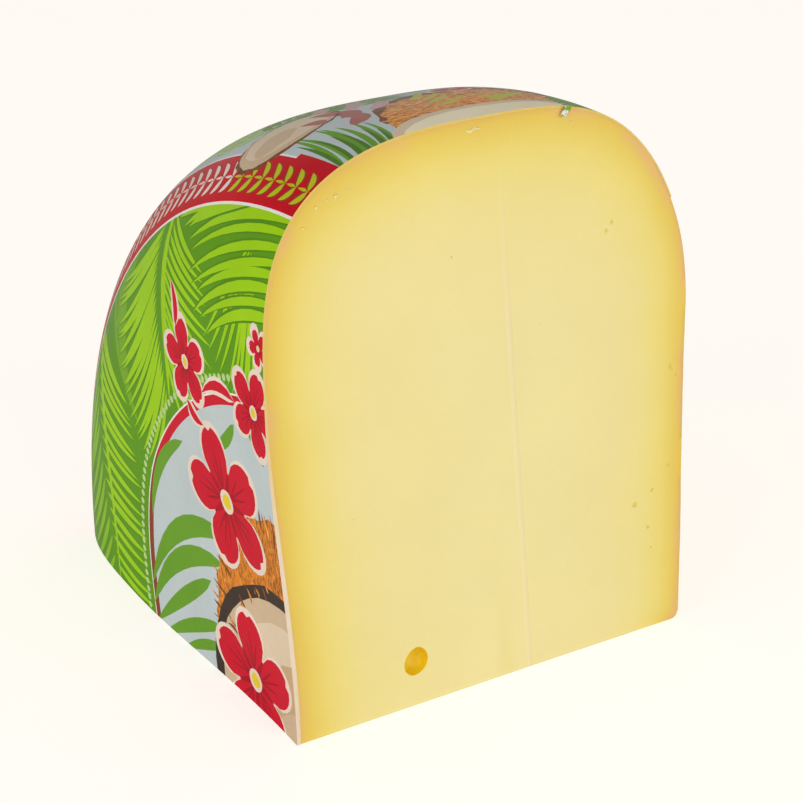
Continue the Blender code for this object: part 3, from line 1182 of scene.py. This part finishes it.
def net_points():
    """Points on rings round the axis, each ring shifted by half a step against the last."""
    made = []
    for distance in np.arange(NET_STEP, PRINT_RADIUS - 2, NET_STEP):
        count = max(2, round(distance * math.pi / 2 / NET_STEP))
        shift = 0.5 * (round(distance / NET_STEP) % 2)
        for step in range(count + 1):
            angle = math.pi / 2 * min((step + shift) / count, 1)
            if 0 < step + shift < count:
                made.append(Vector((distance * math.sin(angle), distance * math.cos(angle))))
    return made


def print_net():
    """Points of the net, its triangles and each triangle's ink."""
    points, faces = [], []
    for _, shape in drawn:
        faces.append(list(range(len(points), len(points) + len(shape))))
        points.extend(shape)
    points.extend(net_points())
    for step in np.arange(NET_STEP, PRINT_RADIUS, NET_STEP):
        points.extend([Vector((0, step)), Vector((step, 0))])
    found, _, triangles, _, _, covers = geometry.delaunay_2d_cdt(points, [], faces, 1, 1e-4, True)
    kept = [(tri, drawn[max(cover)][0]) for tri, cover in zip(triangles, covers) if 0 in cover]
    used = sorted({i for tri, _ in kept for i in tri})
    renumber = {old: new for new, old in enumerate(used)}
    flat = np.array([found[i] for i in used])
    flat[np.abs(flat) < 1e-3] = 0
    return flat, [[renumber[i] for i in tri] for tri, _ in kept], [ink for _, ink in kept]


flat_points, triangles, triangle_inks = print_net()
print("print net:", len(flat_points), "points,", len(triangles), "triangles")

# %% [markdown]
# The film isn't perfectly tight. It swells a little in slow waves, and where the disc has to
# shrink to pass over the bare shoulder it gathers in small pleats, deepest at its free end.
# At the cuts its underside is tucked into the cheese's soft edge, so no gap shows there.
# The print's own shading directions come from the same formula, so the fine net never shows.

# %% Lift the print onto the wheel
CUT_CLEARANCE = 0.06 * MM                # the film stays this far inside both cuts
AIR_UNDER_FILM = 0.04 * MM
EDGE_TUCK = 0.26 * MM                    # at a cut the film reaches into the cheese's softened edge
EDGE_NEAR_AXIS = np.array([0.80, 0.66, 0.50])      # colour of the film's cut edge
EDGE_ON_RIM = np.array([0.74, 0.53, 0.13])


def film_lift(s, angle):
    """How far the film's outside stands off the outline."""
    slow = 0.10 * MM * np.sin(s / (17 * MM) + 3 * angle) * np.sin(5.3 * angle + 1)
    gathered = eased(s, S_CROWN + 6 * MM, S_FILM_END)
    pleats = np.sin(46 * angle + 1.3 * np.sin(9 * angle)) + 0.6 * np.sin(83 * angle + 2)
    quiet_edge = eased(s, 0, 25 * MM) * (1 - gathered)
    away_from_cuts = eased(angle, 0.0, 0.25) * (1 - eased(angle, math.pi / 2 - 0.25, math.pi / 2))
    return slow * quiet_edge + gathered * 0.12 * MM * (pleats + 1.6) * away_from_cuts


def film_place(s, angle, depth_share):
    """A point of the film: depth_share 0 is its printed outside, 1 its underside."""
    x, r, out_x, out_r = outline(s)
    from_cut = s * np.minimum(np.sin(angle), np.cos(angle))
    tucked = 1 - eased(from_cut, 0, 1 * MM)
    body = film_skin(np.minimum(s, S_FILM_END)) + (EDGE_TUCK * tucked - AIR_UNDER_FILM)
    off = film_lift(s, angle) * (1 - depth_share) - depth_share * body
    x, r = x + out_x * off, np.maximum(r + out_r * off, 0)
    place = turned(x, r, angle)
    place[:, 1] = np.maximum(place[:, 1], FRONT_Y + CUT_CLEARANCE)
    place[:, 2] = np.maximum(place[:, 2], CUT_CLEARANCE)
    return place


def film_normals(s, angle):
    """Outward directions of the film, from how its place changes along and round the wheel."""
    step = 0.4 * MM
    along = film_place(s + step, angle, 0) - film_place(np.maximum(s - step, 0), angle, 0)
    swing = step / np.maximum(s, 4 * MM)
    _, r, out_x, out_r = outline(s)
    lift = film_lift(s, angle + swing) - film_lift(s, angle - swing)
    tangent = np.stack([np.zeros_like(s), np.cos(angle), -np.sin(angle)], -1)
    outward = np.stack([out_x, out_r * np.sin(angle), out_r * np.cos(angle)], -1)
    around = tangent * (2 * swing * np.maximum(r, 1 * MM))[:, None] + outward * lift[:, None]
    normal = np.cross(along, around)
    normal *= np.sign((normal * outward).sum(1))[:, None]
    return normal / np.linalg.norm(normal, axis=1)[:, None]


pleat_heights = film_lift(S_FILM_END, np.linspace(0, math.pi / 2, 400))
print(f"pleats at the free end stand up to {pleat_heights.max() / MM:.2f} mm off")

# %% [markdown]
# A film has a body, however thin, and a mesh with an open border can't be made or printed. So the
# label is closed: the printed side, the same net again as its underside, and a narrow strip that
# joins the two along every open edge.

# %% Build the film's mesh


def open_edges(faces):
    """Edges with one triangle only, in that triangle's direction."""
    seen = dict.fromkeys((a, b) for tri in faces for a, b in zip(tri, tri[1:] + tri[:1]))
    return [(a, b) for a, b in seen if (b, a) not in seen]


def film_mesh(s, angle):
    """The printed side, the underside and the strip that joins them along the film's border."""
    outer, inner = film_place(s, angle, 0), film_place(s, angle, 1)
    count = len(s)
    faces = [list(tri) for tri in triangles]
    first = outer[faces[0]]
    facing = np.cross(first[1] - first[0], first[2] - first[0])
    if facing @ film_normals(s, angle)[faces[0][0]] < 0:
        faces = [tri[::-1] for tri in faces]
    under = [[i + count for i in tri[::-1]] for tri in faces]
    sides = [[b, a, a + count, b + count] for a, b in open_edges(faces)]
    mesh = bpy.data.meshes.new("label")
    mesh.from_pydata(np.vstack([outer, inner]).tolist(), [], faces + under + sides)
    mesh.polygons.foreach_set("material_index", [0] * len(faces) + [1] * (len(under) + len(sides)))
    return mesh


film_s = np.hypot(flat_points[:, 0], flat_points[:, 1]) * MM
film_angle = np.arctan2(flat_points[:, 0], flat_points[:, 1])
label_mesh = film_mesh(film_s, film_angle)
print("label faces", len(label_mesh.polygons))

# %% [markdown]
# The mesh now takes its ink. A colour on each corner keeps two inks crisp where they meet, because
# corners aren't shared between triangles. The flat drawing is also kept as the mesh's map, so the
# print can be baked to a picture for other programs.

# %% Store the inks, the map and the shading directions
MAP_START, MAP_SPAN = 0.014, 0.972       # the printed side fills the map but for a margin
UNDER_CORNER, UNDER_SPAN = 0.99, 0.24    # the underside is a small copy in the empty far corner
STRIP_EDGE, STRIP_GAP, STRIP_WIDTH = 0.012, 0.003, 0.007


def bake_places(corner_vertex, printed, rim_start, count):
    """Where each corner lies on the print's own map: the flat drawing itself, the underside small."""
    share = np.tile(flat_points / PRINT_RADIUS, (2, 1))[corner_vertex]
    under = (corner_vertex >= count).astype(float)
    places = MAP_START + MAP_SPAN * share
    places[printed:rim_start] = UNDER_CORNER - UNDER_SPAN * share[printed:rim_start]
    strip = slice(rim_start, len(share))
    off = STRIP_GAP + STRIP_WIDTH * under[strip]
    along_v, along_u = share[strip, 0] < 1e-4, share[strip, 1] < 1e-4
    edge = places[strip].copy()
    edge[along_v, 0] = STRIP_EDGE - off[along_v]
    edge[along_u, 1] = STRIP_EDGE - off[along_u]
    free = ~(along_v | along_u)
    edge[free] *= 1 + 1.6 * off[free, None]
    places[strip] = edge
    return places.astype(np.float32)


def store_inks(mesh, s, corner_vertex):
    """Each corner's ink, whether it is fibrous, and its place on the print's map."""
    loops, printed = len(corner_vertex), 3 * len(triangles)
    reach = np.concatenate([s, s])[corner_vertex]
    inks = np.ones((loops, 4), np.float32)
    inks[:, :3] = EDGE_NEAR_AXIS + (EDGE_ON_RIM - EDGE_NEAR_AXIS) * eased(reach, 35 * MM, 90 * MM)[:, None]
    inks[:printed, :3] = np.repeat([INKS[ink] for ink in triangle_inks], 3, axis=0)
    fibres = np.zeros(loops, np.float32)
    fibres[:printed] = np.repeat([ink in FIBROUS for ink in triangle_inks], 3)
    ink_layer = mesh.color_attributes.new("ink", "FLOAT_COLOR", "CORNER")
    ink_layer.data.foreach_set("color", inks.ravel())
    fibre_layer = mesh.attributes.new("fibre", "FLOAT", "CORNER")
    fibre_layer.data.foreach_set("value", fibres)
    print_map = mesh.uv_layers.new(name="OFBake")
    print_map.uv.foreach_set("vector", bake_places(corner_vertex, printed, 2 * printed, len(s)).ravel())


def set_film_normals(mesh, s, angle, corner_vertex):
    """Smooth directions for both sides, and each strip face's own for the border strip."""
    rim_start = 6 * len(triangles)
    mesh.shade_smooth()
    outward = film_normals(s, angle)
    normals = np.zeros((len(corner_vertex), 3))
    normals[:rim_start] = np.concatenate([outward, -outward])[corner_vertex[:rim_start]]
    facing = np.zeros(3 * len(mesh.polygons))
    mesh.polygon_normals.foreach_get("vector", facing)
    normals[rim_start:] = np.repeat(facing.reshape(-1, 3)[2 * len(triangles):], 4, axis=0)
    mesh.normals_split_custom_set(normals.tolist())


corner_vertex = np.zeros(len(label_mesh.loops), np.int32)
label_mesh.loops.foreach_get("vertex_index", corner_vertex)
store_inks(label_mesh, film_s, corner_vertex)
set_film_normals(label_mesh, film_s, film_angle, corner_vertex)
label = new_object("label", label_mesh)
print("label corners with ink", len(corner_vertex))

# %% [markdown]
# ## The film's materials
# The printed side is ink under a glossy film. The ink comes from the corner colours, with the
# faint unevenness of a real print and streaks where a husk is drawn. The gloss is a low
# roughness that smears raise here and there. The film's cut edge shows its pale, unprinted body.

# %% Printed side and cut edge


def make_print(material):
    tree, shader = begin(material, 0.24, Specular_IOR_Level=0.06)
    ink = stored(tree, "ink", "Color")
    fibre = stored(tree, "fibre")
    where = own_place(tree)
    streaks = add_node(tree, "ShaderNodeMapping", Vector=where, Scale=(0.5, 1.0, 0.4))
    strand = ramp(tree, grain(tree, streaks.outputs[0], 1400.0, 3.0, 0.7),
                  [(0.35, (0.35, 0.30, 0.26)), (0.62, (1.25, 1.15, 1.0))])
    husky = add_node(tree, "ShaderNodeMix", {"data_type": "RGBA", "blend_type": "MULTIPLY"},
                     i0=fibre, i6=ink, i7=strand)
    drift = placed(tree, cloudy, Color=husky.outputs[2], Per_Metre=70.0, Amount=0.22)
    screened = placed(tree, cloudy, Color=drift, Per_Metre=1800.0, Amount=0.12)
    tree.links.new(screened, shader.inputs["Base Color"])
    smear_gloss(tree, shader, lowest=0.20, per_metre=50.0, amount=0.16)
    grainy = placed(tree, relief, Coarse_Per_Metre=120.0, Fine_Per_Metre=900.0, Fine_Share=0.15)
    bump(tree, shader, grainy, 0.00022)


def make_film_edge(material):
    tree, shader = begin(material, 0.5, Specular_IOR_Level=0.2)
    colour = placed(tree, cloudy, Color=stored(tree, "ink", "Color"), Per_Metre=300.0, Amount=0.15)
    tree.links.new(colour, shader.inputs["Base Color"])
    bump(tree, shader, placed(tree, relief, Fine_Share=0.5), 0.0001)


printed_film = bpy.data.materials.new("printed_film")
film_edge = bpy.data.materials.new("film_edge")
make_print(printed_film)
make_film_edge(film_edge)
label.data.materials.append(printed_film)
label.data.materials.append(film_edge)
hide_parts("label_film")
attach(label, "root")
print("label stands for the packed film")

# %% [markdown]
# ## Crumbs and a fleck of film
# A knife leaves a few crumbs of paste on the cut and drags a curl of it near the top edge. They are
# small, but they tell that the piece was really cut. Each crumb is a lumpy ball sunk halfway in,
# and the curl is two tapered tubes that touch.

# %% Make the crumbs and the curl
# In millimetres: x from the wheel's middle, z from the floor, then the radius.
CRUMBS = [(-31.9, 112.4, 0.40), (-35.8, 111.0, 0.32), (-33.7, 111.9, 0.22), (-38.6, 107.6, 0.24),
          (-29.6, 113.2, 0.20), (-2.4, 118.0, 0.18), (18.2, 117.4, 0.20)]
CURLS = [(((-5.0, 119.9), (-3.8, 119.0), (-2.8, 120.4)), 0.26),
         (((-3.4, 119.6), (-2.4, 120.1), (-1.7, 119.5)), 0.20)]


def add_lump(bm, x, z, size):
    """A lumpy ball, sunk halfway into the upright cut."""
    place = Vector((MIDDLE_X + x * MM, FRONT_Y + 0.05 * MM, z * MM))
    found = bmesh.ops.create_icosphere(bm, subdivisions=2, radius=size * MM,
                                       matrix=Matrix.Translation(place))
    for vert in found["verts"]:
        away = vert.co - place
        vert.co += away * 0.45 * noise.noise(vert.co / (size * MM))
        vert.co.y = place.y + (vert.co.y - place.y) * 0.7


def add_curl(bm, curve, radius, sides=8, steps=14):
    """A tapered tube along a bent line on the cut, closed at both ends."""
    rows = []
    for step in range(steps + 1):
        t = step / steps
        here, following = bent(curve, t), bent(curve, min(t + 0.02, 1.02))
        across = (following - here).normalized()
        wide = radius * (0.12 + math.sin(math.pi * min(max(t, 0.02), 0.98)) ** 0.6)
        row = []
        for side in range(sides):
            angle = 2 * math.pi * side / sides
            flat = here + Vector((-across.y, across.x)) * wide * math.cos(angle)
            row.append(bm.verts.new((MIDDLE_X + flat.x * MM, FRONT_Y + 0.8 * wide * math.sin(angle) * MM,
                                     flat.y * MM)))
        rows.append(row)
    for row, following in zip(rows, rows[1:]):
        for side in range(sides):
            after = (side + 1) % sides
            bm.faces.new((row[side], row[after], following[after], following[side]))
    bm.faces.new(rows[0][::-1])
    bm.faces.new(rows[-1])


def object_from(bm, name, material):
    """A smooth piece on the root body, made of the shapes that were collected."""
    bmesh.ops.recalc_face_normals(bm, faces=bm.faces[:])
    mesh = bpy.data.meshes.new(name)
    bm.to_mesh(mesh)
    bm.free()
    mesh.shade_smooth()
    mesh.materials.append(material)
    made = new_object(name, mesh)
    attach(made, "root")
    return made


def make_crumb_material():
    material = bpy.data.materials.new("crumb")
    tree, shader = begin(material, 0.5, Subsurface_Weight=0.15, Subsurface_Scale=0.002,
                         Subsurface_Radius=(1.0, 0.6, 0.25))
    colour = placed(tree, cloudy, Color=(0.89, 0.73, 0.34, 1), Per_Metre=900.0, Amount=0.2)
    tree.links.new(colour, shader.inputs["Base Color"])
    bump(tree, shader, placed(tree, relief, Coarse_Per_Metre=1200.0, Fine_Share=0.5), 0.0001)
    return material


crumb_shapes = bmesh.new()
for crumb in CRUMBS:
    add_lump(crumb_shapes, *crumb)
for curl in CURLS:
    add_curl(crumb_shapes, *curl)
crumbs = object_from(crumb_shapes, "crumbs", make_crumb_material())
print("crumbs:", len(crumbs.data.polygons), "faces")

# %% [markdown]
# The knife also tore a fleck off the film, which sticks to the cut near the top edge. It is a small
# bent grid with a ragged outline. It is made in two layers that are joined round their rims, so
# that it is thin but closed, and noise decides where it shows its print and where its white body.

# %% Make the fleck of film
FLECK_X, FLECK_Z = 16.6, 119.9           # millimetres from the wheel's middle and from the floor


def make_fleck_material():
    """Torn film: its green print on one part and its white body on the other."""
    material = bpy.data.materials.new("torn_film")
    tree, shader = begin(material, 0.35, Specular_IOR_Level=0.2)
    where = own_place(tree)
    torn = ramp(tree, grain(tree, where, 620.0, 2.0), [(0.46, INKS["dull_green"]), (0.54, INKS["white"])])
    tree.links.new(placed(tree, cloudy, Color=torn, Per_Metre=900.0, Amount=0.15),
                   shader.inputs["Base Color"])
    bump(tree, shader, placed(tree, relief, Coarse_Per_Metre=900.0), 0.0001)
    return material


def add_fleck():
    """A bent scrap of film, thin but closed, that clings to the cut near its top edge."""
    across, up, thick = 7, 10, 0.10 * MM
    bm = bmesh.new()
    layers = []
    for layer in (0, 1):
        grid = []
        for j in range(up + 1):
            row = []
            for i in range(across + 1):
                a, b = i / across - 0.5, j / up - 0.5
                ragged = 1 + 0.25 * noise.noise(Vector((3 * a, 3 * b, 0.5)))
                x = FLECK_X + (1.4 * a + 0.7 * b) * ragged
                z = FLECK_Z + (1.8 * b - 0.3 * a) * ragged
                out = 0.10 + 0.35 * (2 * a) ** 2 + 0.15 * math.sin(5 * b)
                row.append(bm.verts.new((MIDDLE_X + x * MM, FRONT_Y - out * MM - layer * thick, z * MM)))
            grid.append(row)
        layers.append(grid)
    for layer, grid in enumerate(layers):
        for j in range(up):
            for i in range(across):
                face = (grid[j][i], grid[j][i + 1], grid[j + 1][i + 1], grid[j + 1][i])
                bm.faces.new(face if layer else face[::-1])
    rims = [[*grid[0], *(row[-1] for row in grid[1:]), *grid[-1][-2::-1],
             *(row[0] for row in grid[-2:0:-1])] for grid in layers]
    for k in range(len(rims[0])):
        after = (k + 1) % len(rims[0])
        bm.faces.new((rims[0][k], rims[0][after], rims[1][after], rims[1][k]))
    return object_from(bm, "film_fleck", make_fleck_material())


fleck = add_fleck()
print("fleck:", len(fleck.data.polygons), "faces")

# %% [markdown]
# ## Floor, light and background
# The object stands on a plain pale floor before a plain pale backdrop. Two big soft panels, low
# and to the sides, light the two upright faces evenly, and the even sky keeps the top dimmer.

# %% Floor, lights and world
BACKDROP = (1.0, 0.965, 0.896)
SKY_STRENGTH = 0.47
FLOOR_GLOW = 0.765                       # it brightens the floor to the backdrop's tone
GLOW_UNSEEN_IN_GLOSS = 0.85               # the share of the glow that a reflection doesn't see


def add_floor():
    mesh = bpy.data.meshes.new("floor")
    bm = bmesh.new()
    bmesh.ops.create_circle(bm, cap_ends=True, segments=96, radius=4.0)
    bm.to_mesh(mesh)
    bm.free()
    made = new_object("floor", mesh)
    material = bpy.data.materials.new("floor")
    tree, shader = begin(material, 0.9, Specular_IOR_Level=0.0)
    shader.inputs["Base Color"].default_value = (0.42, 0.405, 0.375, 1)
    shader.inputs["Emission Color"].default_value = (1.0, 0.965, 0.915, 1)
    sight = tree.nodes.new("ShaderNodeLightPath")
    dimmed = math_node(tree, "MULTIPLY", sight.outputs["Is Glossy Ray"], GLOW_UNSEEN_IN_GLOSS)
    kept = math_node(tree, "SUBTRACT", 1.0, dimmed)
    tree.links.new(math_node(tree, "MULTIPLY", kept, FLOOR_GLOW), shader.inputs["Emission Strength"])
    mesh.materials.append(material)


def add_panel(name, azimuth, elevation, distance, size, power):
    """A soft square light that looks at the middle of the object."""
    heading = Vector((math.sin(math.radians(azimuth)) * math.cos(math.radians(elevation)),
                      -math.cos(math.radians(azimuth)) * math.cos(math.radians(elevation)),
                      math.sin(math.radians(elevation))))
    data = bpy.data.lights.new(name, "AREA")
    data.shape = "SQUARE"
    data.size = size
    data.energy = power
    made = new_object(name, data)
    made.rotation_euler = heading.to_track_quat("Z", "Y").to_euler()
    made.location = Vector((0, 0, RADIUS / 2)) + heading * distance


def set_world():
    """The camera sees the plain backdrop; the object is lit by a dimmer even sky."""
    world = bpy.data.worlds.new("studio")
    world.use_nodes = True
    bpy.context.scene.world = world
    tree = world.node_tree
    shown, out = tree.nodes["Background"], tree.nodes["World Output"]
    shown.inputs["Color"].default_value = (*BACKDROP, 1)
    lit = add_node(tree, "ShaderNodeBackground", Color=(1.0, 0.985, 0.96, 1),
                   Strength=SKY_STRENGTH)
    sight = tree.nodes.new("ShaderNodeLightPath")
    mixed = add_node(tree, "ShaderNodeMixShader", i0=sight.outputs["Is Camera Ray"],
                     i1=lit.outputs[0], i2=shown.outputs[0])
    tree.links.new(mixed.outputs[0], out.inputs["Surface"])


add_floor()
add_panel("panel_left", -72, 12, 1.3, 1.1, 6.2)
add_panel("panel_front", 12, 14, 1.4, 1.1, 5.7)
set_world()
bpy.context.scene.view_settings.view_transform = "Standard"
print("floor, two panels and the world are set")
